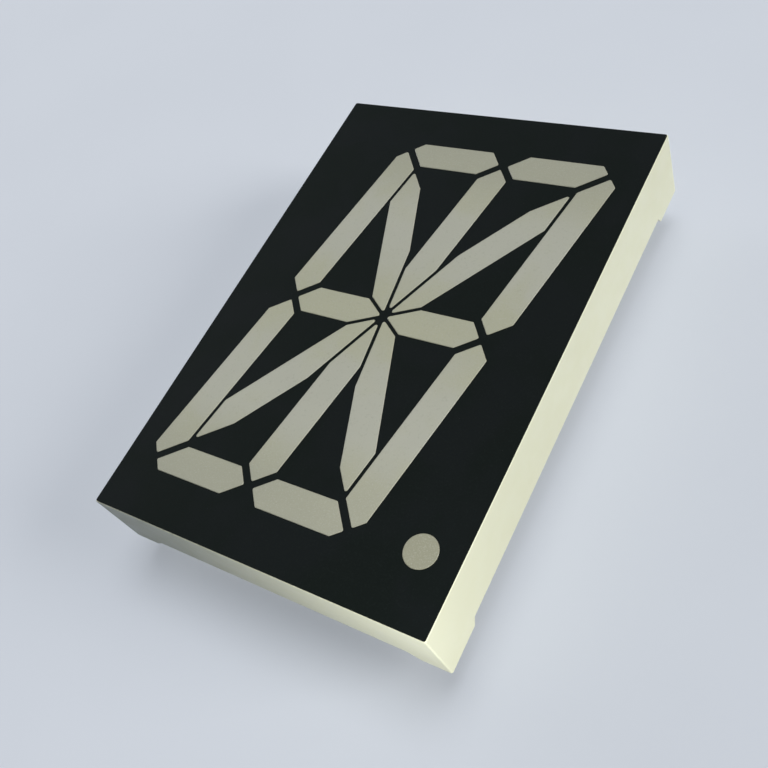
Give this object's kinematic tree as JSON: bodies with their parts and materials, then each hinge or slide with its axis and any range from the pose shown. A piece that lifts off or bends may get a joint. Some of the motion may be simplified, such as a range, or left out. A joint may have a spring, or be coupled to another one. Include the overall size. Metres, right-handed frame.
{
  "type": "sixteen-segment led display",
  "caption": "Flat alphanumeric display module: a slanted segmented character and a decimal point on a black face, in an ivory housing with rows of pins behind.",
  "frame": {"origin": "Middle of the seating plane, on which the four corner feet stand, and of the two pin rows.", "axes": "+X runs across the face to the right of the character, +Y up the character, and +Z out of the face. The pins point along -Z."},
  "size_m": [0.048, 0.07, 0.0145],
  "materials": {
    "housing_plastic": "satin moulded",
    "face_black": "matt film",
    "segment_resin": "satin cast resin",
    "board": "bare laminate",
    "potting_resin": "cast resin",
    "solder": "bright solder",
    "plated_pad": "gold flash on copper",
    "gold_wire": "drawn wire",
    "led_die": "sawn crystal",
    "tinned_pin": "tinned"
  },
  "bodies": {
    "root": {"housing": "housing_plastic", "face_film": "face_black", "circuit_board": "board", "potting": "potting_resin", "solder_joints": "solder", "pads": "plated_pad", "bond_wires": "gold_wire", "segment_a1": "segment_resin", "segment_a2": "segment_resin", "segment_b": "segment_resin", "segment_f": "segment_resin", "segment_g1": "segment_resin", "segment_h": "segment_resin", "segment_i": "segment_resin", "segment_j": "segment_resin", "segment_d2": "segment_resin", "segment_d1": "segment_resin", "segment_e": "segment_resin", "segment_c": "segment_resin", "segment_g2": "segment_resin", "segment_k": "segment_resin", "segment_l": "segment_resin", "segment_m": "segment_resin", "decimal_point": "segment_resin", "dice_a1": "led_die", "dice_a2": "led_die", "dice_b": "led_die", "dice_f": "led_die", "dice_g1": "led_die", "dice_h": "led_die", "dice_i": "led_die", "dice_j": "led_die", "dice_d2": "led_die", "dice_d1": "led_die", "dice_e": "led_die", "dice_c": "led_die", "dice_g2": "led_die", "dice_k": "led_die", "dice_l": "led_die", "dice_m": "led_die", "dice_point": "led_die", "pin_1": "tinned_pin", "pin_2": "tinned_pin", "pin_3": "tinned_pin", "pin_4": "tinned_pin", "pin_5": "tinned_pin", "pin_6": "tinned_pin", "pin_7": "tinned_pin", "pin_8": "tinned_pin", "pin_9": "tinned_pin", "pin_10": "tinned_pin", "pin_11": "tinned_pin", "pin_12": "tinned_pin", "pin_13": "tinned_pin", "pin_14": "tinned_pin", "pin_15": "tinned_pin", "pin_16": "tinned_pin", "pin_17": "tinned_pin", "pin_18": "tinned_pin"}
  },
  "joints": []
}
